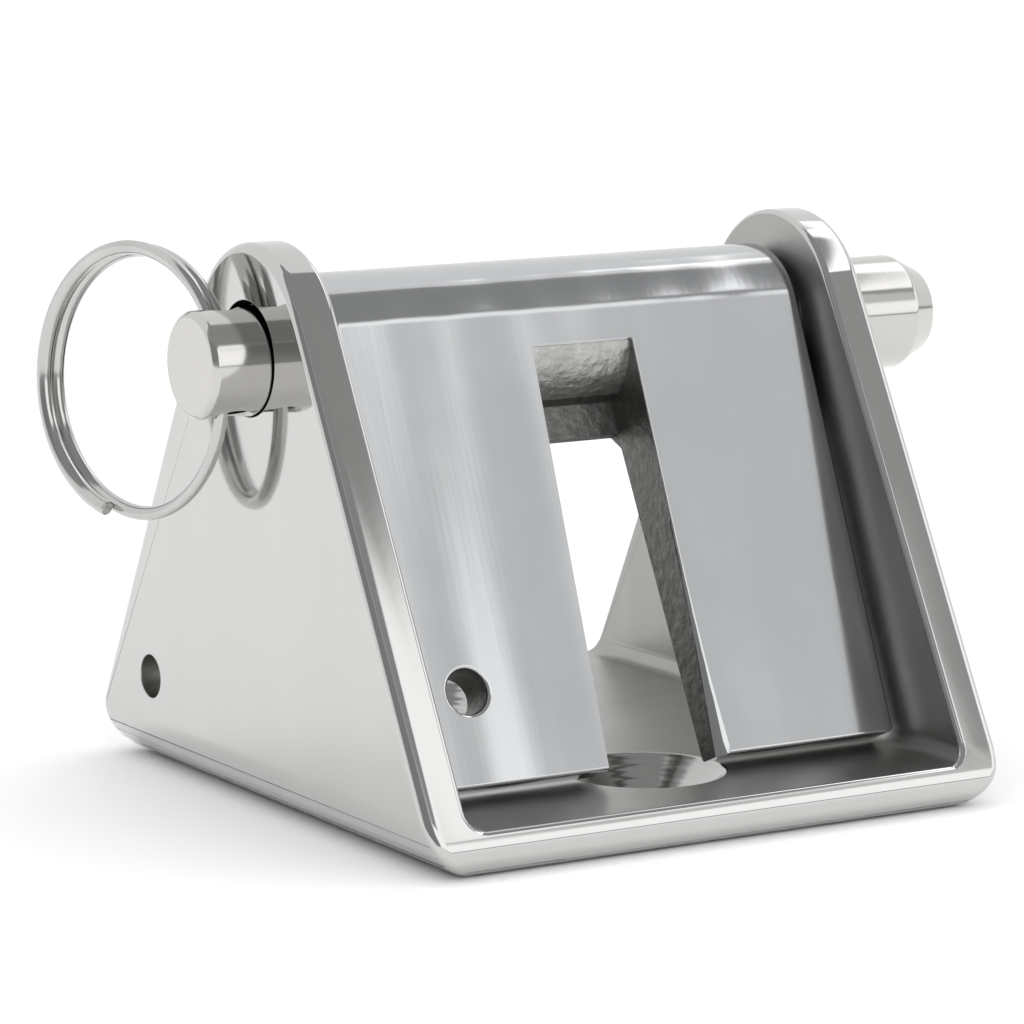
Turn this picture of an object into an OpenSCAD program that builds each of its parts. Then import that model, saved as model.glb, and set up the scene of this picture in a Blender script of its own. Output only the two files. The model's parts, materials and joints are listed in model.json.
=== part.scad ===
// Hinged anchor chain stopper: a U-shaped bracket, a slotted pawl that swings
// on a removable pin, and the split ring that keeps the pin in.
// The chain runs along Y, the pin lies along X, and the deck is under z = 0.
// The origin is on the underside of the base, straight below the pin.

/* [Bracket] */
// Width over both ears
bracket_w = 74; // [60:1:100]
// Thickness of the bent plate
plate_t = 5; // [4:0.5:6]
// Radius inside the two bends
bend_r = 2; // [1:0.5:3]
// Height of the pin's axis above the deck
axis_z = 50.5; // [46:0.5:60]
// Radius of the ears' round tops
ear_r = 13; // [11:0.5:16]
// Distance in front of the axis of the front corner's centre
front_foot = 37.4; // [32:0.1:45]
// Distance behind the axis of the rear corner's centre
rear_foot = 32.5; // [26:0.5:40]
// Radius of the front corners, seen from the side
front_corner_r = 3; // [2:0.5:5]
// Radius of the rear corners, seen from the side
rear_corner_r = 5; // [2:0.5:6]

/* [Holes] */
// Through hole for each deck bolt
bolt_d = 10.5; // [8.4:0.1:11]
// Countersink's diameter at the top of the base
sink_d = 18.5; // [16:0.1:19]
// Front bolt's distance in front of the axis
front_bolt = 23.3; // [21:0.1:26]
// Rear bolt's distance behind the axis
rear_bolt = 22; // [20:0.1:24]
// Tie hole through the left ear
tie_d = 5; // [4:0.1:6]
// Tie hole's distance behind the axis
tie_y = 24.4; // [20:0.1:26]
// Tie hole's height
tie_z = 11.1; // [9.5:0.1:14]

/* [Pawl] */
// Radius of the barrel round the pin
barrel_r = 9.2; // [8.5:0.1:10]
// Distance of the flat front face from the pin's axis
face_offset = 8.6; // [7.5:0.1:8.8]
// Lean of the pawl, tip forward, when it rests on the base
lean = 23; // [15:0.1:30]
// Gap between the pawl and each ear
side_gap = 0.6; // [0.4:0.1:1.5]
// Pawl's thickness just below the barrel
root_t = 7; // [6:0.1:8]
// Pawl's thickness at its tip
tip_t = 4.1; // [3.5:0.1:5]
// Width of the slot at its closed top, for one link on edge
slot_top_w = 13.2; // [11:0.1:14]
// Width of the slot at the pawl's tip
slot_tip_w = 14.7; // [12:0.1:16]
// Distance of the slot's straight right wall from the middle
slot_right = 7.2; // [6:0.1:8]
// Distance below the axis of the slot's mouth in the front face
slot_top = 3; // [2:0.1:5]
// Distance below the axis where the slot goes right through
slot_through = 12.3; // [10.5:0.1:13]
// Lanyard hole in one leg
lanyard_d = 5; // [4:0.1:6]
// Lanyard hole's distance from the middle
lanyard_x = 23; // [18:0.1:26]
// Lanyard hole's distance below the axis
lanyard_drop = 40.7; // [30:0.1:43]

/* [Pin] */
// Diameter of the pin's shank
pin_d = 12; // [10:0.1:12]
// Length of shank outside the left ear
tail_l = 7; // [6.5:0.1:9]
// Head's diameter
head_d = 13.4; // [13.4:0.1:16]
// Head's length, with its chamfer
head_l = 15; // [8:0.1:18]
// Length of the head's chamfer
head_chamfer_l = 3.5; // [1:0.1:4]
// Head's diameter at its end
head_end_d = 10; // [8:0.1:12]
// Cross hole for the split ring
cross_d = 4.6; // [4.4:0.1:5]
// Cross hole's distance from the left ear
cross_x = 3; // [2.4:0.1:3.4]
// Lean of the cross hole, top end to the rear
cross_lean = 14; // [0:1:30]

/* [Split ring] */
// Wire's diameter
wire_d = 1.65; // [1.2:0.05:1.7]
// Outside diameter of the ring
ring_d = 31.5; // [28:0.5:34]
// Angle of the ring away from the ear
ring_open = 15; // [5:0.1:90]

/* [Hidden] */
$fn = 96;

inner_w = bracket_w - 2 * plate_t;
half_w = bracket_w / 2;
bend_outer_r = bend_r + plate_t - 0.5;
sink_depth = (sink_d - bolt_d) / 2;
bore_r = pin_d / 2 + 0.4;      // loose bore in each ear
bore_rise = 0.3;               // the pin lies low in its loose bores
barrel_bore_r = pin_d / 2 + 0.06;
tip_gap = 0.1;
pocket_r = barrel_r - 0.6;     // cast surface at the slot's top
gusset_angle = 27;
tip_chamfer = 1.4;             // clears the bends inside the bracket
tongue_l = (axis_z - plate_t - tip_gap + sin(lean) * (face_offset - tip_t)) / cos(lean);
pawl_w = inner_w - 2 * side_gap;
shoulder_gap = 0.1;
tail_chamfer = 0.6;
cross_chamfer = 0.5;
ring_mid_r = (ring_d - wire_d) / 2;
coil_offset = 0.48 * wire_d;   // the two turns are pressed together
ring_sag = ring_mid_r - 0.6;   // ring centre from the cross hole's centre
over = 1;                      // how far a cutter runs past a face

// Lays a child drawn in XY on its side, so that it is extruded along X
// and its own x and y become Y and Z.
module along_x(length) {
    translate([-length / 2, 0, 0])
        rotate([90, 0, 90])
            linear_extrude(length) children();
}

// Round bar along X between two places.
module bar_x(x0, x1, r) {
    translate([x0, 0, 0])
        rotate([0, 90, 0])
            cylinder(h = x1 - x0, r = r);
}

// Points on a circle between two angles.
function arc(centre, r, from, to, steps = 12) =
    [for (i = [0:steps]) let (a = from + (to - from) * i / steps) centre + r * [cos(a), sin(a)]];

// Angle of the outward normal of the line that touches two circles, from the
// circle at a to the circle at b, with both circles on the line's left.
function touch_angle(a, ra, b, rb) =
    atan2(b[1] - a[1], b[0] - a[0]) - acos((ra - rb) / norm(b - a));

// Side view of the bracket: two corners and a round top, joined by tangents.
module side_outline() {
    top = [0, axis_z];
    front = [-front_foot, front_corner_r];
    rear = [rear_foot, rear_corner_r];
    rear_side = touch_angle(rear, rear_corner_r, top, ear_r);
    front_side = touch_angle(top, ear_r, front, front_corner_r) + 360;
    polygon(concat(
        arc(rear, rear_corner_r, -90, rear_side),
        arc(top, ear_r, rear_side, front_side, 40),
        arc(front, front_corner_r, front_side, 270)
    ));
}

// Points down one side of a U, round its two feet and up the other side.
function u_points(width, foot, height, r) = concat(
    [[-width / 2, height]],
    arc([-width / 2 + r, foot + r], r, 180, 270),
    arc([width / 2 - r, foot + r], r, 270, 360),
    [[width / 2, height]]
);

// End view of the bent plate.
module bend_profile() {
    tall = axis_z + ear_r + over;
    outer = u_points(bracket_w, 0, tall, bend_outer_r);
    inner = u_points(inner_w, plate_t, tall, bend_r);
    polygon(concat(outer, [for (i = [len(inner) - 1:-1:0]) inner[i]]));
}

module deck_hole(y) {
    translate([0, y, -over]) cylinder(h = plate_t + 2 * over, d = bolt_d);
    translate([0, y, plate_t - sink_depth])
        cylinder(h = sink_depth + over, d1 = bolt_d, d2 = sink_d + 2 * over);
}

module bracket() {
    deep = front_foot + rear_foot + 4 * rear_corner_r;
    color("silver") difference() {
        intersection() {
            along_x(bracket_w) side_outline();
            translate([0, deep / 2, 0]) rotate([90, 0, 0])
                linear_extrude(deep) bend_profile();
        }
        translate([0, 0, axis_z + bore_rise]) bar_x(-half_w - over, half_w + over, bore_r);
        translate([0, tie_y, tie_z]) bar_x(-half_w - over, over - half_w + plate_t, tie_d / 2);
        deck_hole(-front_bolt);
        deck_hole(rear_bolt);
    }
}

// Side view of the pawl, pin's axis at the origin, front to the left. The
// barrel's front is a little flatter, so that it runs smoothly into the face.
module pawl_side() {
    polygon(concat(
        arc([0, 0], barrel_r, gusset_angle - 90, 90, 48),
        arc([0, barrel_r - face_offset], face_offset, 90, 180, 24),
        [
            [-face_offset, -tongue_l], [-face_offset + tip_t, -tongue_l],
            [-face_offset + root_t, -14]
        ]
    ));
}

// Front view of the slot. Its left wall leans, so the slot widens downwards.
module slot_front() {
    lean_x = (slot_tip_w - slot_top_w) / (tongue_l - slot_top);
    low = tongue_l + over;
    polygon([
        [slot_right, -slot_top], [slot_right - slot_top_w, -slot_top],
        [slot_right - slot_top_w - lean_x * (low - slot_top), -low], [slot_right, -low]
    ]);
}

// The slot's lower part goes through; its top is a pocket down to the barrel.
module pawl_slot() {
    difference() {
        rotate([90, 0, 0]) linear_extrude(4 * barrel_r, center = true) slot_front();
        bar_x(-half_w, half_w, pocket_r);
        translate([-half_w, root_t - face_offset, -slot_through])
            cube([bracket_w, 2 * barrel_r, slot_through]);
    }
}

// Cuts the two lower corners off the tongue.
module tip_corners() {
    cut = tip_chamfer * sqrt(2);
    for (side = [-1, 1])
        translate([side * pawl_w / 2, -barrel_r / 2, -tongue_l]) rotate([0, 45, 0])
            cube([cut, 2 * barrel_r, cut], center = true);
}

module pawl() {
    color("gainsboro") translate([0, 0, axis_z]) rotate([-lean, 0, 0]) difference() {
        along_x(pawl_w) pawl_side();
        bar_x(-half_w, half_w, barrel_bore_r);
        pawl_slot();
        tip_corners();
        translate([-lanyard_x, 0, -lanyard_drop]) rotate([90, 0, 0])
            cylinder(h = 2 * barrel_r, d = lanyard_d);
    }
}

// Half section of the pin, drawn with its length along y.
module pin_section() {
    r = pin_d / 2;
    tail = -half_w - tail_l;
    shoulder = half_w + shoulder_gap;
    end = shoulder + head_l;
    polygon([
        [0, tail], [r - tail_chamfer, tail], [r, tail + tail_chamfer],
        [r, shoulder], [head_d / 2, shoulder],
        [head_d / 2, end - head_chamfer_l], [head_end_d / 2, end], [0, end]
    ]);
}

module clevis_pin() {
    mouth = pin_d / 2 - cross_chamfer;
    color("lightgray") translate([0, 0, axis_z]) difference() {
        rotate([0, 90, 0]) rotate([0, 0, 90]) rotate_extrude() pin_section();
        translate([-half_w - cross_x, 0, 0]) rotate([-cross_lean, 0, 0]) {
            cylinder(h = 2 * pin_d, d = cross_d, center = true);
            for (end = [0, 180]) rotate([0, end, 0]) translate([0, 0, mouth])
                cylinder(h = over, d1 = cross_d, d2 = cross_d + 2 * over);
        }
    }
}

module split_ring() {
    color("whitesmoke") translate([-half_w - cross_x, 0, axis_z])
        rotate([-cross_lean, 0, 0]) rotate([0, 0, ring_open])
            translate([0, ring_sag, 0]) rotate([0, 90, 0])
                rotate_extrude() for (side = [-1, 1])
                    translate([ring_mid_r, side * coil_offset]) circle(d = wire_d);
}

bracket();
pawl();
clevis_pin();
split_ring();
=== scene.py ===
import bpy
import bmesh
import json
import math
from mathutils import Matrix, Vector, noise


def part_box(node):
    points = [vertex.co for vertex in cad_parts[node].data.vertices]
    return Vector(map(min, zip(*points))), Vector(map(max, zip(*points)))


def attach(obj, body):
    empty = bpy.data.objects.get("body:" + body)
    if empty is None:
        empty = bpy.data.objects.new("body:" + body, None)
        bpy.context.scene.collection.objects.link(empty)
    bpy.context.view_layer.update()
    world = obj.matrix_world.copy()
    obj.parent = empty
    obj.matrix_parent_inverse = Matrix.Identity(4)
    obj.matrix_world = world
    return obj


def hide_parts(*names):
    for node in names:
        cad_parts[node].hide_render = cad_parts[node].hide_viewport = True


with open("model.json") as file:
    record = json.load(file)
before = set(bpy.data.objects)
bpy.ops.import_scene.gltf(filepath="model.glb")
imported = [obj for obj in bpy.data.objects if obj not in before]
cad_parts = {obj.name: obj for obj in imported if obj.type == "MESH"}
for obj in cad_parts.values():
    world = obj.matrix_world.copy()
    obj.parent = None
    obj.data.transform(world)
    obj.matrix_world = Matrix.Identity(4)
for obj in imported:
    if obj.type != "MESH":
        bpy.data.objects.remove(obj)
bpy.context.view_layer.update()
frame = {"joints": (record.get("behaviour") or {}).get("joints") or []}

mm = 0.001
pivot = Vector(next(j for j in frame["joints"] if j["name"] == "pawl_swing")["pos_m"])
print("frame loaded, pin axis at", tuple(pivot))


# mesh helpers
def turnedEdges(bm, wanted, angle):
    # edges that turn more than this many degrees and pass the test
    found = []
    for e in bm.edges:
        if len(e.link_faces) == 2 and e.calc_face_angle(0) > math.radians(angle) and wanted(e):
            found.append(e)
    return found


def middle(edge):
    return (edge.verts[0].co + edge.verts[1].co) / 2


def roundEdges(bm, edges, width, segments=3):
    bmesh.ops.bevel(bm, geom=edges, offset=width, offset_type="OFFSET", segments=segments,
                    profile=0.5, affect="EDGES", material=-1, clamp_overlap=True)


def toObject(bm, name="tool"):
    mesh = bpy.data.meshes.new(name)
    bm.to_mesh(mesh)
    bm.free()
    piece = bpy.data.objects.new(name, mesh)
    bpy.context.scene.collection.objects.link(piece)
    return piece


def toMesh(piece):
    bm = bmesh.new()
    bm.from_mesh(piece.data)
    return bm


def putBack(bm, piece):
    bm.to_mesh(piece.data)
    bm.free()


def bake(piece):
    # puts the modifiers' result into the mesh
    graph = bpy.context.evaluated_depsgraph_get()
    result = bpy.data.meshes.new_from_object(piece.evaluated_get(graph))
    piece.modifiers.clear()
    old = piece.data
    piece.data = result
    bpy.data.meshes.remove(old)


def combine(piece, toolMesh, operation="DIFFERENCE"):
    tool = toObject(toolMesh)
    step = piece.modifiers.new("combine", "BOOLEAN")
    step.operation = operation
    step.solver = "EXACT"
    step.object = tool
    bake(piece)
    bpy.data.meshes.remove(tool.data)


def barAlongX(x0, x1, radius, y, z, segments=96):
    bm = bmesh.new()
    bmesh.ops.create_cone(bm, cap_ends=True, segments=segments, radius1=radius, radius2=radius,
                          depth=x1 - x0)
    bmesh.ops.rotate(bm, verts=bm.verts, matrix=Matrix.Rotation(math.pi / 2, 3, "Y"))
    bmesh.ops.translate(bm, verts=bm.verts, vec=((x0 + x1) / 2, y, z))
    return bm


def block(low, high):
    bm = bmesh.new()
    bmesh.ops.create_cube(bm, size=1)
    bmesh.ops.scale(bm, verts=bm.verts, vec=[b - a for a, b in zip(low, high)])
    bmesh.ops.translate(bm, verts=bm.verts, vec=[(a + b) / 2 for a, b in zip(low, high)])
    return bm


def turned(profile, centre, axis, steps=96):
    # solid of revolution: profile is (place along the axis, radius), about an axis through centre
    along = Vector(axis).normalized()
    across = along.orthogonal().normalized()
    bm = bmesh.new()
    points = [bm.verts.new(Vector(centre) + along * a + across * r) for a, r in profile]
    edges = [bm.edges.new(pair) for pair in zip(points, points[1:])]
    bmesh.ops.spin(bm, geom=points + edges, cent=centre, axis=along, angle=2 * math.pi,
                   steps=steps, use_merge=True)
    bmesh.ops.remove_doubles(bm, verts=bm.verts, dist=1e-7)
    bmesh.ops.recalc_face_normals(bm, faces=bm.faces)
    return bm


def borer(centre, axis, radius, spans, flare):
    # drill that also rounds the rim where it enters and leaves each span of metal
    steps = 4  # facets across each rounded rim
    profile = [(spans[0][0] - mm, 0), (spans[0][0] - mm, radius + flare)]
    for enter, leave in spans:
        for i in range(steps + 1):
            a = math.pi / 2 * i / steps
            profile.append((enter + flare * (1 - math.cos(a)), radius + flare * (1 - math.sin(a))))
        for i in range(steps + 1):
            a = math.pi / 2 * i / steps
            profile.append((leave - flare * (1 - math.sin(a)), radius + flare * (1 - math.cos(a))))
    profile += [(spans[-1][1] + mm, radius + flare), (spans[-1][1] + mm, 0)]
    return turned(profile, centre, axis)


def cutAcross(bm, faces, axis, start, stop, step):
    # slices chosen faces into strips, so that their surface can be shaped
    normal = Vector((0, 0, 0))
    normal[axis] = 1
    count = int((stop - start) / step)
    faces = set(faces)
    for i in range(1, count):
        place = normal * (start + i * step)
        edges = {e for f in faces for e in f.edges}
        verts = {v for f in faces for v in f.verts}
        cut = bmesh.ops.bisect_plane(bm, geom=list(faces) + list(edges) + list(verts), dist=1e-7,
                                     plane_co=place, plane_no=normal)
        faces |= {g for g in cut["geom"] if isinstance(g, bmesh.types.BMFace)}
    return [f for f in faces if f.is_valid]


def finishPiece(piece, body, node, sharp=50):
    piece.data.polygons.foreach_set("use_smooth", [True] * len(piece.data.polygons))
    piece.data.set_sharp_from_angle(angle=math.radians(sharp))
    even = piece.modifiers.new("even normals", "WEIGHTED_NORMAL")
    even.keep_sharp = True
    even.weight = 100
    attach(piece, body)
    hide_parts(node)
    print(piece.name, "made,", len(piece.data.polygons), "faces")


# materials
def newGroup(name, inputs, outputs):
    group = bpy.data.node_groups.new(name, "ShaderNodeTree")
    for label, kind, value in inputs:
        socket = group.interface.new_socket(label, in_out="INPUT", socket_type=kind)
        if value is not None:
            socket.default_value = value
    for label, kind in outputs:
        group.interface.new_socket(label, in_out="OUTPUT", socket_type=kind)
    return group, group.nodes.new("NodeGroupInput"), group.nodes.new("NodeGroupOutput")


def addNode(tree, kind, **values):
    node = tree.nodes.new(kind)
    for key, value in values.items():
        if key in node.inputs:
            node.inputs[key].default_value = value
        else:
            setattr(node, key, value)
    return node


def maths(tree, operation, a, b, c=None):
    # one Math node; each term is a number or another node's output
    node = tree.nodes.new("ShaderNodeMath")
    node.operation = operation
    for i, term in enumerate((a, b, c)):
        if term is None:
            continue
        if isinstance(term, (int, float)):
            node.inputs[i].default_value = term
        else:
            tree.links.new(term, node.inputs[i])
    return node.outputs[0]


def noiseOf(tree, place, scale, stretch=(1, 1, 1), detail=3.0, roughness=0.55):
    mapping = addNode(tree, "ShaderNodeMapping", Scale=stretch)
    tree.links.new(place, mapping.inputs["Vector"])
    texture = addNode(tree, "ShaderNodeTexNoise", Scale=scale, Detail=detail, Roughness=roughness)
    tree.links.new(mapping.outputs["Vector"], texture.inputs["Vector"])
    return texture.outputs["Fac"]


def makePolish():
    # buffing lines, low waves and smudges of polished steel; the lines run along the group's Z
    group, gin, gout = newGroup(
        "polish",
        [("Place", "NodeSocketVector", None), ("Lines", "NodeSocketFloat", 0.3),
         ("Waves", "NodeSocketFloat", 0.5), ("Dull", "NodeSocketFloat", 0.06),
         ("Smudge", "NodeSocketFloat", 0.06)],
        [("Tone", "NodeSocketFloat"), ("Roughness", "NodeSocketFloat"), ("Height", "NodeSocketFloat")])
    place = gin.outputs["Place"]
    lines = noiseOf(group, place, 1200, (1, 1, 0.03), detail=2)
    streaks = noiseOf(group, place, 130, (1, 1, 0.10), detail=2)
    waves = noiseOf(group, place, 75, (1, 1, 0.12), detail=1)
    smudge = noiseOf(group, place, 90, detail=4)
    height = maths(group, "MULTIPLY", waves, gin.outputs["Waves"])
    fineLines = maths(group, "MULTIPLY", lines, gin.outputs["Lines"])
    height = maths(group, "MULTIPLY_ADD", fineLines, 0.03, height)
    rough = maths(group, "MULTIPLY_ADD", smudge, gin.outputs["Smudge"], gin.outputs["Dull"])
    tone = maths(group, "MULTIPLY_ADD", streaks, 0.6, maths(group, "MULTIPLY", smudge, 0.4))
    group.links.new(tone, gout.inputs["Tone"])
    group.links.new(rough, gout.inputs["Roughness"])
    group.links.new(height, gout.inputs["Height"])
    return group


def makeGrit():
    # sand-cast skin: pits and grains
    group, gin, gout = newGroup(
        "grit", [("Place", "NodeSocketVector", None), ("Size", "NodeSocketFloat", 700.0)],
        [("Mask", "NodeSocketFloat"), ("Height", "NodeSocketFloat")])
    grain = addNode(group, "ShaderNodeTexNoise", Detail=5.0, Roughness=0.65)
    pits = addNode(group, "ShaderNodeTexVoronoi", feature="SMOOTH_F1")
    for texture in (grain, pits):
        group.links.new(gin.outputs["Place"], texture.inputs["Vector"])
        group.links.new(gin.outputs["Size"], texture.inputs["Scale"])
    height = maths(group, "MULTIPLY_ADD", pits.outputs["Distance"], 0.35, grain.outputs["Fac"])
    group.links.new(grain.outputs["Fac"], gout.inputs["Mask"])
    group.links.new(height, gout.inputs["Height"])
    return group


def steel(name, look):
    m = bpy.data.materials.new(name)
    m.use_nodes = True
    tree = m.node_tree
    link = tree.links.new
    shader = tree.nodes["Principled BSDF"]
    shader.inputs["Metallic"].default_value = 1.0
    place = addNode(tree, "ShaderNodeTexCoord")
    aim = addNode(tree, "ShaderNodeMapping", Rotation=look.get("turn", (0, 0, 0)),
                  Scale=look.get("squash", (1, 1, 1)))
    link(place.outputs["Object"], aim.inputs["Vector"])
    skin = tree.nodes.new("ShaderNodeGroup")
    skin.node_tree = effects["polish"]
    for label in ("Lines", "Waves", "Dull", "Smudge"):
        skin.inputs[label].default_value = look[label]
    link(aim.outputs["Vector"], skin.inputs["Place"])
    colour = addNode(tree, "ShaderNodeMix", data_type="RGBA")
    colour.inputs["A"].default_value = (*look["dark"], 1)
    colour.inputs["B"].default_value = (*look["light"], 1)
    height = skin.outputs["Height"]
    tone = skin.outputs["Tone"]
    if look.get("grit"):
        grit = tree.nodes.new("ShaderNodeGroup")
        grit.node_tree = effects["grit"]
        link(place.outputs["Object"], grit.inputs["Place"])
        tone = maths(tree, "MULTIPLY", tone, grit.outputs["Mask"])
        tone = maths(tree, "MULTIPLY", tone, 2.0)
        height = maths(tree, "MULTIPLY_ADD", grit.outputs["Height"], look["grit"], height)
    link(tone, colour.inputs["Factor"])
    link(colour.outputs["Result"], shader.inputs["Base Color"])
    link(skin.outputs["Roughness"], shader.inputs["Roughness"])
    relief = addNode(tree, "ShaderNodeBump", Strength=look["bump"], Distance=0.0003)
    link(height, relief.inputs["Height"])
    link(relief.outputs["Normal"], shader.inputs["Normal"])
    return m


effects = {"polish": makePolish(), "grit": makeGrit()}
steelLooks = {
    "mirror": {"light": (0.60, 0.60, 0.59), "dark": (0.56, 0.56, 0.55), "Lines": 0.3, "Waves": 0.30,
               "Dull": 0.03, "Smudge": 0.06, "bump": 0.25},
    # inside: duller inner steel whose darker base colour is also painted shade for the channel between the
    # ears and the tie hole
    "inside": {"light": (0.48, 0.48, 0.465), "dark": (0.30, 0.30, 0.29), "Lines": 0.8, "Waves": 2.0,
               "Dull": 0.26, "Smudge": 0.22, "bump": 0.5},
    "pawlFace": {"light": (0.58, 0.59, 0.60), "dark": (0.50, 0.51, 0.52), "Lines": 0.8, "Waves": 3.0,
                 "Dull": 0.07, "Smudge": 0.08, "bump": 0.45, "turn": (math.radians(23), 0, 0)},
    "castSkin": {"light": (0.62, 0.62, 0.60), "dark": (0.28, 0.28, 0.27), "Lines": 0.2, "Waves": 1.0,
                 "Dull": 0.34, "Smudge": 0.20, "bump": 0.8, "grit": 1.0},
    "bored": {"light": (0.62, 0.62, 0.61), "dark": (0.38, 0.38, 0.37), "Lines": 3.0, "Waves": 1.0,
              "Dull": 0.10, "Smudge": 0.10, "bump": 0.6, "squash": (0.02, 0.02, 110)},
    # painted shade: near-black cast steel for the slot's right wall, the deep pocket and the lanyard bore
    "shadedCastWall": {"light": (0.25, 0.25, 0.24), "dark": (0.10, 0.10, 0.095), "Lines": 0.2, "Waves": 1.0,
                 "Dull": 0.34, "Smudge": 0.20, "bump": 0.6, "grit": 1.0},
    "turnedPin": {"light": (0.62, 0.61, 0.59), "dark": (0.54, 0.535, 0.52), "Lines": 0.5, "Waves": 0.5,
                  "Dull": 0.07, "Smudge": 0.12, "bump": 0.3},
    "wire": {"light": (0.66, 0.66, 0.65), "dark": (0.44, 0.44, 0.43), "Lines": 0.3, "Waves": 0.4,
             "Dull": 0.08, "Smudge": 0.10, "bump": 0.25},
}
steels = {name: steel(name, look) for name, look in steelLooks.items()}
print("steels ready")

# bracket: one bent plate with ears cut to a round top
bracketValues = {
    "plate": 5.0 * mm, "insideBend": 2.0 * mm, "outsideBend": 6.5 * mm, "topRadius": 13.0 * mm,
    "frontCorner": (-37.4 * mm, 3.0 * mm), "rearCorner": (32.43 * mm, 5.0 * mm),
    "boreRadius": 6.4 * mm, "boreRise": 0.3 * mm,
    "boltRadius": 5.25 * mm, "sinkRadius": 9.25 * mm, "bolts": (-23.3 * mm, 22.0 * mm),
    "sinkGrooves": 18, "grooveDepth": 0.05 * mm, "tieHole": (24.4 * mm, 11.1 * mm, 2.5 * mm),
    "outerRim": 1.3 * mm, "innerRim": 0.7 * mm, "holeRim": 0.15 * mm, "blankLength": 120 * mm,
}


def trough(width, bottom, top, length, radius, segments):
    bm = block((-width / 2, -length / 2, bottom), (width / 2, length / 2, top))
    feet = [e for e in bm.edges if all(v.co.z < bottom + 1e-6 for v in e.verts)
            and abs(e.verts[0].co.x - e.verts[1].co.x) < 1e-6]
    roundEdges(bm, feet, radius, segments=segments)
    return bm


def sideOutline(v, halfWidth):
    # hull of the round top and the two lower corners
    bm = bmesh.new()
    rounds = ((0, pivot.z, v["topRadius"], 144),
              (*v["frontCorner"], v["frontCorner"][1], 24),
              (*v["rearCorner"], v["rearCorner"][1], 36))
    for y, z, radius, segments in rounds:
        bar = barAlongX(-halfWidth - mm, halfWidth + mm, radius, y, z, segments)
        mesh = bpy.data.meshes.new("bar")
        bar.to_mesh(mesh)
        bar.free()
        bm.from_mesh(mesh)
        bpy.data.meshes.remove(mesh)
    hull = bmesh.ops.convex_hull(bm, input=bm.verts)
    inside = [g for g in hull["geom_interior"] + hull["geom_unused"] if isinstance(g, bmesh.types.BMVert)]
    bmesh.ops.delete(bm, geom=inside, context="VERTS")
    bmesh.ops.dissolve_limit(bm, angle_limit=math.radians(0.3), verts=bm.verts, edges=bm.edges)
    bmesh.ops.recalc_face_normals(bm, faces=bm.faces)
    return bm


def sinkTool(v, y):
    # drill and countersink in one, with the fine grooves that the countersink leaves
    slope = v["sinkRadius"] - v["boltRadius"]
    profile = [(-mm, 0), (-mm, v["boltRadius"]), (v["plate"] - slope, v["boltRadius"])]
    grooves = v["sinkGrooves"]
    for i in range(1, grooves):
        step = slope * i / grooves + (v["grooveDepth"] if i % 2 else -v["grooveDepth"])
        profile.append((v["plate"] - slope + step, v["boltRadius"] + slope * i / grooves))
    profile += [(v["plate"] + mm, v["sinkRadius"] + mm), (v["plate"] + mm, 0)]
    return turned(profile, (0, y, 0), (0, 0, 1))


def softenRims(piece, v, inside):
    # rounds every edge where the cut outline meets the bent plate; the round fades out with the corner
    bm = toMesh(piece)
    bmesh.ops.remove_doubles(bm, verts=bm.verts, dist=2e-6)
    weights = bm.edges.layers.float.new("bevel_weight_edge")
    for e in bm.edges:
        if len(e.link_faces) != 2:
            continue
        one, two = (f.normal for f in e.link_faces)
        flat = 1e-3
        meets = abs(one.x) < flat and abs(two.y) < flat or abs(two.x) < flat and abs(one.y) < flat
        turn = e.calc_face_angle(0)
        if not meets or turn < math.radians(2):
            continue
        spot = middle(e)
        inner = abs(spot.x) < inside / 2 + 0.1 * mm and spot.z > v["plate"] - 0.1 * mm
        share = v["innerRim"] / v["outerRim"] if inner else 1
        e[weights] = share * min(1, math.tan(turn / 2))
    putBack(bm, piece)
    step = piece.modifiers.new("rims", "BEVEL")
    step.limit_method = "WEIGHT"
    step.width = v["outerRim"]
    step.segments = 6
    step.profile = 0.5
    step.use_clamp_overlap = False
    bake(piece)


def makeBracket(v):
    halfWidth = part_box("bracket")[1][0]
    tall = pivot.z + v["topRadius"] + 5 * mm
    inside = 2 * (halfWidth - v["plate"])
    piece = toObject(sideOutline(v, halfWidth), "bentBracket")
    combine(piece, trough(2 * halfWidth, 0, tall, v["blankLength"], v["outsideBend"], 8), "INTERSECT")
    combine(piece, trough(inside, v["plate"], tall + mm, v["blankLength"], v["insideBend"], 5))
    softenRims(piece, v, inside)
    ears = [(-halfWidth, -inside / 2), (inside / 2, halfWidth)]
    combine(piece, borer((0, 0, pivot.z + v["boreRise"]), (1, 0, 0), v["boreRadius"], ears, v["holeRim"]))
    tieY, tieZ, tieRadius = v["tieHole"]
    combine(piece, borer((0, tieY, tieZ), (1, 0, 0), tieRadius, ears[:1], v["holeRim"]))
    for y in v["bolts"]:
        combine(piece, sinkTool(v, y))
    bm = toMesh(piece)
    bmesh.ops.remove_doubles(bm, verts=bm.verts, dist=1e-6)
    finishesAndShade = ["mirror", "inside", "bored"]
    innerFloor = v["plate"] - 0.02 * mm
    for f in bm.faces:
        spot = f.calc_center_median()
        between = abs(spot.x) < inside / 2 + 0.02 * mm and spot.z > innerFloor
        inTieHole = spot.x < 0 and math.hypot(spot.y - tieY, spot.z - tieZ) < tieRadius + 0.03 * mm
        inBoltHole = any(math.hypot(spot.x, spot.y - y) < v["sinkRadius"] for y in v["bolts"])
        if inBoltHole and 0 < spot.z < innerFloor:
            f.material_index = finishesAndShade.index("bored")
        # the tie hole and the faces between the ears get the darker inside steel: duller finish and painted
        # shade
        elif inTieHole or between and abs(f.normal.y) < 0.3:
            f.material_index = finishesAndShade.index("inside")
        else:
            f.material_index = finishesAndShade.index("mirror")
    piece.data.materials.clear()
    for name in finishesAndShade:
        piece.data.materials.append(steels[name])
    putBack(bm, piece)
    finishPiece(piece, "bracket", "bracket")


makeBracket(bracketValues)

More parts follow.
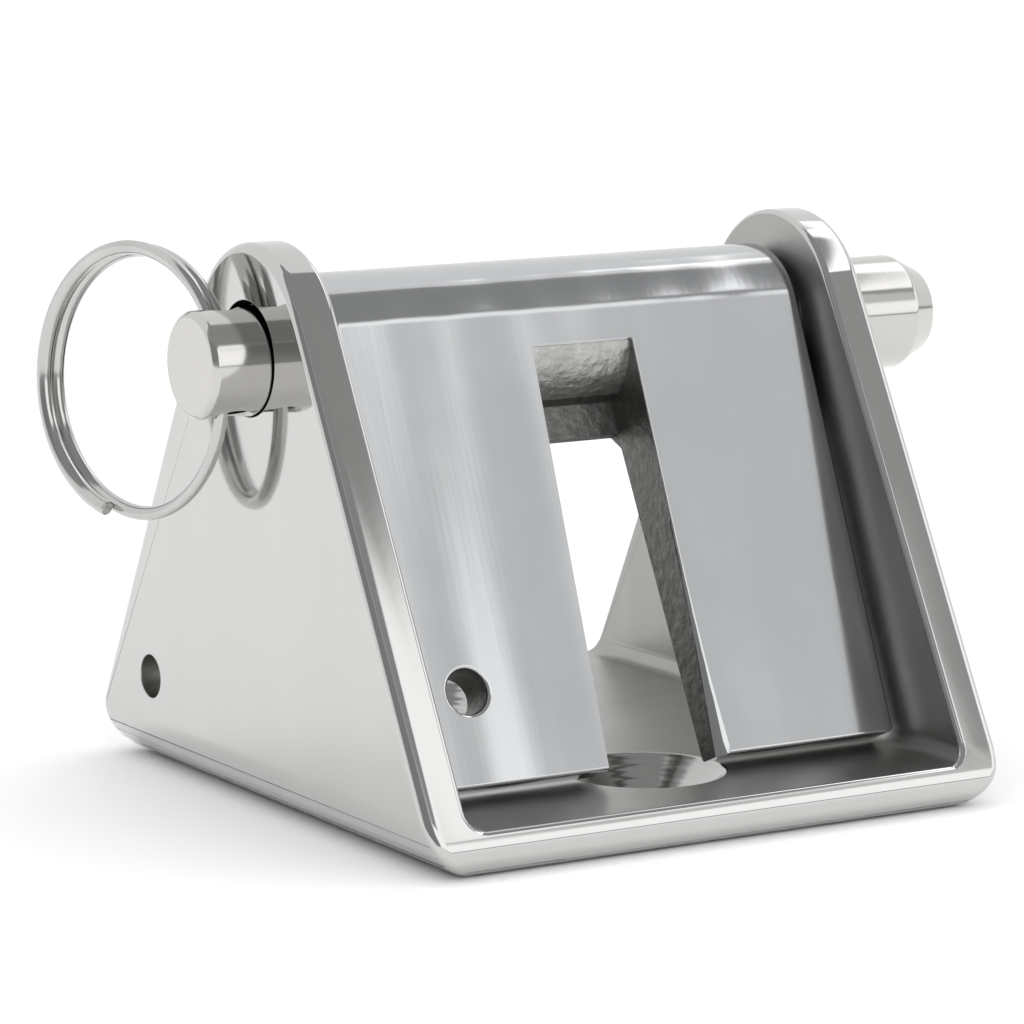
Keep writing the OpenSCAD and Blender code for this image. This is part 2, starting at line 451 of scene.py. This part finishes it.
# pawl: cast barrel with a forked tongue, its front buffed
pawlValues = {
    "barrelRadius": 9.2 * mm, "frontRadius": 8.6 * mm, "frontRise": 0.6 * mm, "lean": 23,
    "halfWidth": 31.4 * mm, "rootThickness": 7.0 * mm, "rootDrop": 14.0 * mm,
    "tipThickness": 4.1 * mm, "length": 51.2 * mm,
    "gussetAngle": 27, "boreRadius": 6.06 * mm,
    "slotRight": 7.2 * mm, "slotTopWidth": 13.2 * mm, "slotTipWidth": 14.7 * mm,
    "slotTop": 3.0 * mm, "slotThrough": 12.3 * mm, "pocketRadius": 8.6 * mm,
    "lanyard": (-23.0 * mm, 40.7 * mm, 2.5 * mm),
    "sideRound": 1.9 * mm, "cornerRound": 0.4 * mm, "boreRim": 0.5 * mm, "lanyardRim": 0.45 * mm,
    "slotEdge": (0.15 * mm, 1.4 * mm), "slotLip": 0.2 * mm, "skinCell": 0.36 * mm, "skinDepth": 0.04 * mm,
    "skinLumps": 1500,
}


def pawlSide(v):
    # half of the pawl, drawn from its side view and rounded where it ends
    bm = bmesh.new()
    drop = math.radians(v["gussetAngle"])
    start = bm.verts.new((0, v["barrelRadius"] * math.sin(drop), -v["barrelRadius"] * math.cos(drop)))
    place = start
    for centre, angle, steps in (((0, 0, 0), math.pi - drop, 60),
                                 ((0, 0, v["frontRise"]), math.pi / 2, 40)):
        spun = bmesh.ops.spin(bm, geom=[place], cent=centre, axis=(1, 0, 0), angle=angle, steps=steps)
        place = next(g for g in spun["geom_last"] if isinstance(g, bmesh.types.BMVert))
    front = -v["frontRadius"]
    tongue = ((front, -v["length"]), (front + v["tipThickness"], -v["length"]),
              (front + v["rootThickness"], -v["rootDrop"]))
    corners = [bm.verts.new((0, y, z)) for y, z in tongue]
    for pair in zip([place] + corners, corners + [start]):
        bm.edges.new(pair)
    bmesh.ops.contextual_create(bm, geom=list(bm.edges))
    end = bm.faces[:]
    if end[0].normal.x < 0:
        bmesh.ops.reverse_faces(bm, faces=end)
    bar = bmesh.ops.extrude_face_region(bm, geom=end)
    bmesh.ops.delete(bm, geom=end, context="FACES_ONLY")
    bmesh.ops.translate(bm, verts=[g for g in bar["geom"] if isinstance(g, bmesh.types.BMVert)],
                        vec=(v["halfWidth"] - v["sideRound"], 0, 0))
    end = [g for g in bar["geom"] if isinstance(g, bmesh.types.BMFace)]
    turns = 7
    for i in range(turns):
        a, b = (math.pi / 2 * k / turns for k in (i, i + 1))
        bmesh.ops.inset_region(bm, faces=end, thickness=v["sideRound"] * (math.cos(a) - math.cos(b)),
                               depth=v["sideRound"] * (math.sin(b) - math.sin(a)),
                               use_even_offset=True, use_boundary=True)
    flatSide = v["halfWidth"] - v["sideRound"] + 1e-6
    low = []
    for e in bm.edges:
        atTip = all(p.co.z < 1e-6 - v["length"] and p.co.x < flatSide for p in e.verts)
        if atTip and abs(e.verts[0].co.x - e.verts[1].co.x) > mm:
            low.append(e)
    roundEdges(bm, low, v["cornerRound"], segments=4)
    return bm


def slotTool(v):
    # the left wall leans, so the slot widens downwards
    low = v["length"] + mm
    bm = block((-mm, -20 * mm, -low), (v["slotRight"], 20 * mm, -v["slotTop"]))
    for p in bm.verts:
        if p.co.x < 0:
            share = (-p.co.z - v["slotTop"]) / (v["length"] - v["slotTop"])
            p.co.x = v["slotRight"] - v["slotTopWidth"] - share * (v["slotTipWidth"] - v["slotTopWidth"])
    return bm


def edgeTool(v):
    # one front edge of the fork is buffed away, more towards its tip
    right, front = v["slotRight"], -v["frontRadius"]
    run = v["length"] - v["slotTop"]
    out = 2 * mm
    bm = block((right - 0.01 * mm, front - out, -v["length"] - mm), (right, front, -v["slotTop"]))
    cutAcross(bm, bm.faces[:], 2, -v["length"], -v["slotTop"], run / 12)
    for p in bm.verts:
        share = min(1, (-p.co.z - v["slotTop"]) / run)
        cut = v["slotEdge"][0] + (v["slotEdge"][1] - v["slotEdge"][0]) * share ** 4
        inward, back = p.co.x > right - 0.005 * mm, p.co.y > front - mm
        if inward and back:
            p.co.x, p.co.y = right + cut / 2, front + cut / 2
        elif inward:
            p.co.x = right + cut + out
        elif back:
            p.co.y = front + cut + 0.01 * mm
    return bm


def makePawl(v):
    bm = pawlSide(v)
    bmesh.ops.mirror(bm, geom=bm.verts[:] + bm.edges[:] + bm.faces[:], axis="X", merge_dist=1e-6)
    bmesh.ops.recalc_face_normals(bm, faces=bm.faces)
    piece = toObject(bm, "castPawl")
    right = v["slotRight"]
    front = -v["frontRadius"]
    far = 20 * mm
    reach = v["halfWidth"]
    combine(piece, borer((0, 0, 0), (1, 0, 0), v["boreRadius"], [(-reach, reach)], v["boreRim"]))
    slot = toObject(slotTool(v))
    combine(slot, barAlongX(-far, far, v["pocketRadius"], 0, 0, segments=144))
    combine(slot, block((-far, front + v["rootThickness"], -v["slotThrough"]), (far, 2 * far, far)))
    slotMesh = toMesh(slot)
    bpy.data.meshes.remove(slot.data)
    combine(piece, slotMesh)
    x, z, radius = v["lanyard"]
    combine(piece, borer((x, 0, -z), (0, 1, 0), radius, [(front, far)], v["lanyardRim"]))
    combine(piece, edgeTool(v))
    lip = v["slotLip"]
    wedge = block((right - v["slotTopWidth"], -lip, -lip), (right, lip, lip))
    bmesh.ops.rotate(wedge, verts=wedge.verts, matrix=Matrix.Rotation(math.radians(45), 3, "X"))
    bmesh.ops.translate(wedge, verts=wedge.verts, vec=(0, front + 0.1 * mm, -v["slotTop"]))
    combine(piece, wedge)
    bm = toMesh(piece)
    bmesh.ops.remove_doubles(bm, verts=bm.verts, dist=1e-6)
    slotLeft = right - v["slotTipWidth"]

    def inSlot(f):
        spot = f.calc_center_median()
        if spot.yz.length < v["boreRadius"] + 0.3 * mm or abs(f.normal.x + f.normal.y) > 1.3:
            return False
        return all(slotLeft - 1e-5 < p.co.x < right + 1e-6 and p.co.z < 1e-6 - v["slotTop"] for p in f.verts)

    skin = [f for f in bm.faces if inSlot(f)]
    cell = v["skinCell"]
    skin = cutAcross(bm, skin, 2, -v["length"], 0, cell)
    skin = cutAcross(bm, skin, 1, -12 * mm, 12 * mm, cell)
    skin = cutAcross(bm, skin, 0, slotLeft, right, cell)
    skinSet = set(skin)
    finishesAndShade = ["pawlFace", "castSkin", "shadedCastWall"]
    for f in skinSet:
        # painted shade: slot faces that face left (its right wall) or lie deeper than 8 mm get the
        # near-black steel
        dark = f.normal.x < -0.7 or f.calc_center_median().z < -8 * mm
        f.material_index = finishesAndShade.index("shadedCastWall" if dark else "castSkin")
    for vert in {p for f in skinSet for p in f.verts}:
        if all(f in skinSet for f in vert.link_faces):
            lump = noise.fractal(vert.co * v["skinLumps"], 0.7, 2.0, 3)
            vert.co += vert.normal * lump * v["skinDepth"]
    for f in bm.faces:
        spot = f.calc_center_median()
        if f not in skinSet and f.normal.y > 0.3 and spot.z < -v["barrelRadius"]:
            f.material_index = finishesAndShade.index("castSkin")
        # painted shade: the inside of the lanyard bore gets the near-black steel
        if math.hypot(spot.x - x, spot.z + z) < radius + 0.03 * mm:
            f.material_index = finishesAndShade.index("shadedCastWall")
    hang = Matrix.Translation(pivot) @ Matrix.Rotation(-math.radians(v["lean"]), 4, "X")
    bmesh.ops.transform(bm, verts=bm.verts, matrix=hang)
    piece.data.materials.clear()
    for name in finishesAndShade:
        piece.data.materials.append(steels[name])
    putBack(bm, piece)
    finishPiece(piece, "pawl", "pawl")


makePawl(pawlValues)

# clevis pin: turned from bar, with a cross hole at its tail
pinValues = {
    "radius": 6.0 * mm, "tail": -44.0 * mm, "tailChamfer": 0.6 * mm, "shoulder": 37.1 * mm,
    "headRadius": 6.7 * mm, "headEnd": 52.1 * mm, "headChamfer": 3.5 * mm, "headEndRadius": 5.0 * mm,
    "crossX": -40.0 * mm, "crossRadius": 2.3 * mm, "crossLean": 14, "crossChamfer": 0.5 * mm,
    "edgeRound": 0.2 * mm,
}


def makePin(v):
    r = v["radius"]
    tail, shoulder, end = v["tail"], v["shoulder"], v["headEnd"]
    profile = [(tail, 0), (tail, r - v["tailChamfer"]), (tail + v["tailChamfer"], r), (shoulder, r),
               (shoulder, v["headRadius"]), (end - v["headChamfer"], v["headRadius"]),
               (end, v["headEndRadius"]), (end, 0)]
    bm = turned(profile, (0, 0, pivot.z), (1, 0, 0), steps=128)
    roundEdges(bm, turnedEdges(bm, lambda e: True, 20), v["edgeRound"], segments=3)
    piece = toObject(bm, "turnedPin")
    deep = 12 * mm
    mouth = r - v["crossChamfer"]
    wide = v["crossRadius"] + deep - mouth
    lean = math.radians(v["crossLean"])
    narrow = v["crossRadius"]
    hourglass = [(-deep, 0), (-deep, wide), (-mouth, narrow), (mouth, narrow), (deep, wide), (deep, 0)]
    tool = turned(hourglass, (v["crossX"], 0, pivot.z), (0, math.sin(lean), math.cos(lean)), steps=64)
    combine(piece, tool)
    piece.data.materials.clear()
    piece.data.materials.append(steels["turnedPin"])
    finishPiece(piece, "clevis_pin", "clevis_pin", sharp=35)


makePin(pinValues)

# split ring: one wire wound past its own start
ringValues = {
    "wireRadius": 0.80 * mm, "midRadius": 14.925 * mm, "coilOffset": 0.80 * mm, "sag": 14.325 * mm,
    "innerTurn": 0.3 * mm, "open": 15, "crossLean": 14, "holeX": -40.0 * mm, "endRound": 0.15 * mm,
    "firstEnd": -64, "secondEnd": 545, "jog": (185, 296), "stepAngle": 3,
}


def makeRing(v):
    bm = bmesh.new()
    bmesh.ops.create_circle(bm, cap_ends=False, segments=24, radius=v["wireRadius"])
    bmesh.ops.translate(bm, verts=bm.verts, vec=(-v["coilOffset"], v["midRadius"], 0))
    bmesh.ops.rotate(bm, verts=bm.verts, matrix=Matrix.Rotation(math.radians(v["firstEnd"]), 3, "X"))
    firstLoop = bm.edges[:]
    loop = bm.verts[:] + bm.edges[:]
    jogStart, jogEnd = v["jog"]
    for start, stop, shift in ((v["firstEnd"], jogStart, 0), (jogStart, jogEnd, 2 * v["coilOffset"]),
                               (jogEnd, v["secondEnd"], 0)):
        steps = int((stop - start) / v["stepAngle"])
        spun = bmesh.ops.spin(bm, geom=loop, cent=(0, 0, 0), axis=(1, 0, 0),
                              angle=math.radians(stop - start), steps=steps, dvec=(shift / steps, 0, 0))
        loop = [g for g in spun["geom_last"] if not isinstance(g, bmesh.types.BMFace)]
    bmesh.ops.contextual_create(bm, geom=firstLoop)
    bmesh.ops.contextual_create(bm, geom=[g for g in loop if isinstance(g, bmesh.types.BMEdge)])
    bmesh.ops.recalc_face_normals(bm, faces=bm.faces)
    roundEdges(bm, turnedEdges(bm, lambda e: True, 60), v["endRound"], segments=3)
    for p in bm.verts:
        # the second turn lies a little inside the first
        inward = v["innerTurn"] * (p.co.x + v["coilOffset"]) / (2 * v["coilOffset"])
        p.co.yz *= 1 - inward / v["midRadius"]
    lean = Matrix.Rotation(-math.radians(v["crossLean"]), 4, "X")
    hole = Matrix.Translation((v["holeX"], 0, pivot.z)) @ lean
    place = hole @ Matrix.Rotation(math.radians(v["open"]), 4, "Z") @ Matrix.Translation((0, v["sag"], 0))
    bmesh.ops.transform(bm, verts=bm.verts, matrix=place)
    piece = toObject(bm, "woundRing")
    piece.data.materials.append(steels["wire"])
    finishPiece(piece, "split_ring", "split_ring")


makeRing(ringValues)

# studio
studioValues = {
    "floorTone": 0.9, "backdrop": 1.0, "skylight": 1.7, "skylightSpread": 100, "skylightTilt": (18, -12),
    "lens": 164.2, "cameraAt": (-273.73 * mm, -448.48 * mm, 119.16 * mm),
    "cameraTurn": (90 - 9.57, 0, -31.11),
    # later panels cover earlier ones; each angle is (middle, half width) in degrees
    "panels": (
        {"name": "walls", "elevation": (0, 100), "soft": 1, "tone": 0.95},
        {"name": "ceiling", "elevation": (90, 51.5), "soft": 1.2, "tone": 0.36},
        {"name": "rear", "behind": (90, 83), "elevation": (30, 45), "soft": 1, "tone": 0.98},
        {"name": "front", "azimuth": (30, 54), "elevation": (20, 18.5), "soft": 1.2, "tone": 1.5},
        {"name": "dim", "azimuth": (42, 8.5), "elevation": (27.5, 6), "soft": 2, "tone": 0.8},
        {"name": "rimShade", "azimuth": (62, 18), "elevation": (37, 5), "soft": 0.7, "tone": 0.42},
        {"name": "glint", "slanted": (42.2, 15), "elevation": (49.5, 8.5), "soft": 0.7, "tone": 1.9},
        {"name": "edgeGlint", "azimuth": (-63, 7), "elevation": (21, 7), "soft": 1.5, "tone": 1.7},
        {"name": "left", "azimuth": (-62, 36), "elevation": (20, 18.5), "soft": 4, "tone": 0.30},
        {"name": "skyline", "azimuth": (0, 100), "elevation": (0.5, 1.6), "soft": 0.8, "tone": 0.25},
        {"name": "window", "azimuth": (108, 10), "elevation": (50, 4), "soft": 1, "tone": 2.4},
    ),
}


def makeStage(v):
    bm = bmesh.new()
    bmesh.ops.create_grid(bm, x_segments=1, y_segments=1, size=30)
    floor = toObject(bm, "floor")
    paint = bpy.data.materials.new("floorPaint")
    paint.use_nodes = True
    shader = paint.node_tree.nodes["Principled BSDF"]
    shader.inputs["Base Color"].default_value = (v["floorTone"],) * 3 + (1,)
    shader.inputs["Roughness"].default_value = 0.8
    shader.inputs["Specular IOR Level"].default_value = 0.1
    floor.data.materials.append(paint)


def smoothStep(tree, value, low, high):
    node = tree.nodes.new("ShaderNodeMapRange")
    node.interpolation_type = "SMOOTHSTEP"
    node.inputs["From Min"].default_value = low
    node.inputs["From Max"].default_value = high
    tree.links.new(value, node.inputs["Value"])
    return node.outputs["Result"]


def window(tree, value, middle, half, soft):
    # 1 between middle - half and middle + half, with soft edges; all in degrees
    away = maths(tree, "ABSOLUTE", maths(tree, "SUBTRACT", value, middle), 0)
    return maths(tree, "SUBTRACT", 1.0, smoothStep(tree, away, half - soft, half + soft))


def makeLight(v):
    # azimuth 0 is in front (-Y), 90 to the right (+X); elevation 90 is overhead
    world = bpy.data.worlds.new("studio")
    world.use_nodes = True
    tree = world.node_tree
    tree.nodes.clear()
    place = addNode(tree, "ShaderNodeTexCoord")
    split = addNode(tree, "ShaderNodeSeparateXYZ")
    tree.links.new(place.outputs["Generated"], split.inputs["Vector"])
    x, y, z = (split.outputs[axis] for axis in "XYZ")
    azimuth = maths(tree, "DEGREES", maths(tree, "ARCTAN2", x, maths(tree, "MULTIPLY", y, -1.0)), 0)
    elevation = maths(tree, "DEGREES", maths(tree, "ARCSINE", z, 0), 0)
    behind = maths(tree, "DEGREES", maths(tree, "ARCSINE", y, 0), 0)
    sideways = maths(tree, "DEGREES", maths(tree, "ARCSINE", x, 0), 0)
    slanted = maths(tree, "MULTIPLY_ADD", elevation, -0.15, sideways)
    sides = {"behind": behind, "slanted": slanted, "azimuth": azimuth}
    total = None
    for box in v["panels"]:
        mask = window(tree, elevation, *box["elevation"], box["soft"])
        for name, angle in sides.items():
            if name in box:
                mask = maths(tree, "MULTIPLY", mask, window(tree, angle, *box[name], box["soft"]))
        if total is None:
            total = maths(tree, "MULTIPLY", mask, box["tone"])
        else:
            change = maths(tree, "SUBTRACT", box["tone"], total)
            total = maths(tree, "MULTIPLY_ADD", mask, change, total)
    light = addNode(tree, "ShaderNodeBackground")
    light.inputs["Color"].default_value = (1, 1, 1, 1)
    tree.links.new(total, light.inputs["Strength"])
    plain = addNode(tree, "ShaderNodeBackground", Strength=v["backdrop"])
    plain.inputs["Color"].default_value = (1, 1, 1, 1)
    seen = addNode(tree, "ShaderNodeLightPath")
    mix = tree.nodes.new("ShaderNodeMixShader")
    tree.links.new(seen.outputs["Is Camera Ray"], mix.inputs["Fac"])
    tree.links.new(light.outputs["Background"], mix.inputs[1])
    tree.links.new(plain.outputs["Background"], mix.inputs[2])
    out = addNode(tree, "ShaderNodeOutputWorld")
    tree.links.new(mix.outputs["Shader"], out.inputs["Surface"])
    bpy.context.scene.world = world


def addSkylight(v):
    # lights the floor evenly and isn't mirrored in the steel
    data = bpy.data.lights.new("skylight", "SUN")
    data.energy = v["skylight"]
    data.angle = math.radians(v["skylightSpread"])
    lamp = bpy.data.objects.new("skylight", data)
    lamp.rotation_euler = (math.radians(v["skylightTilt"][0]), math.radians(v["skylightTilt"][1]), 0)
    lamp.visible_glossy = False
    bpy.context.scene.collection.objects.link(lamp)


def makeCamera(v):
    data = bpy.data.cameras.new("camera")
    data.lens = v["lens"]
    data.sensor_width = 36
    data.clip_end = 100
    camera = bpy.data.objects.new("camera", data)
    camera.location = v["cameraAt"]
    camera.rotation_euler = [math.radians(angle) for angle in v["cameraTurn"]]
    bpy.context.scene.collection.objects.link(camera)
    bpy.context.scene.camera = camera


makeStage(studioValues)
makeLight(studioValues)
addSkylight(studioValues)
makeCamera(studioValues)
bpy.context.scene.view_settings.view_transform = "Standard"
print("studio ready")
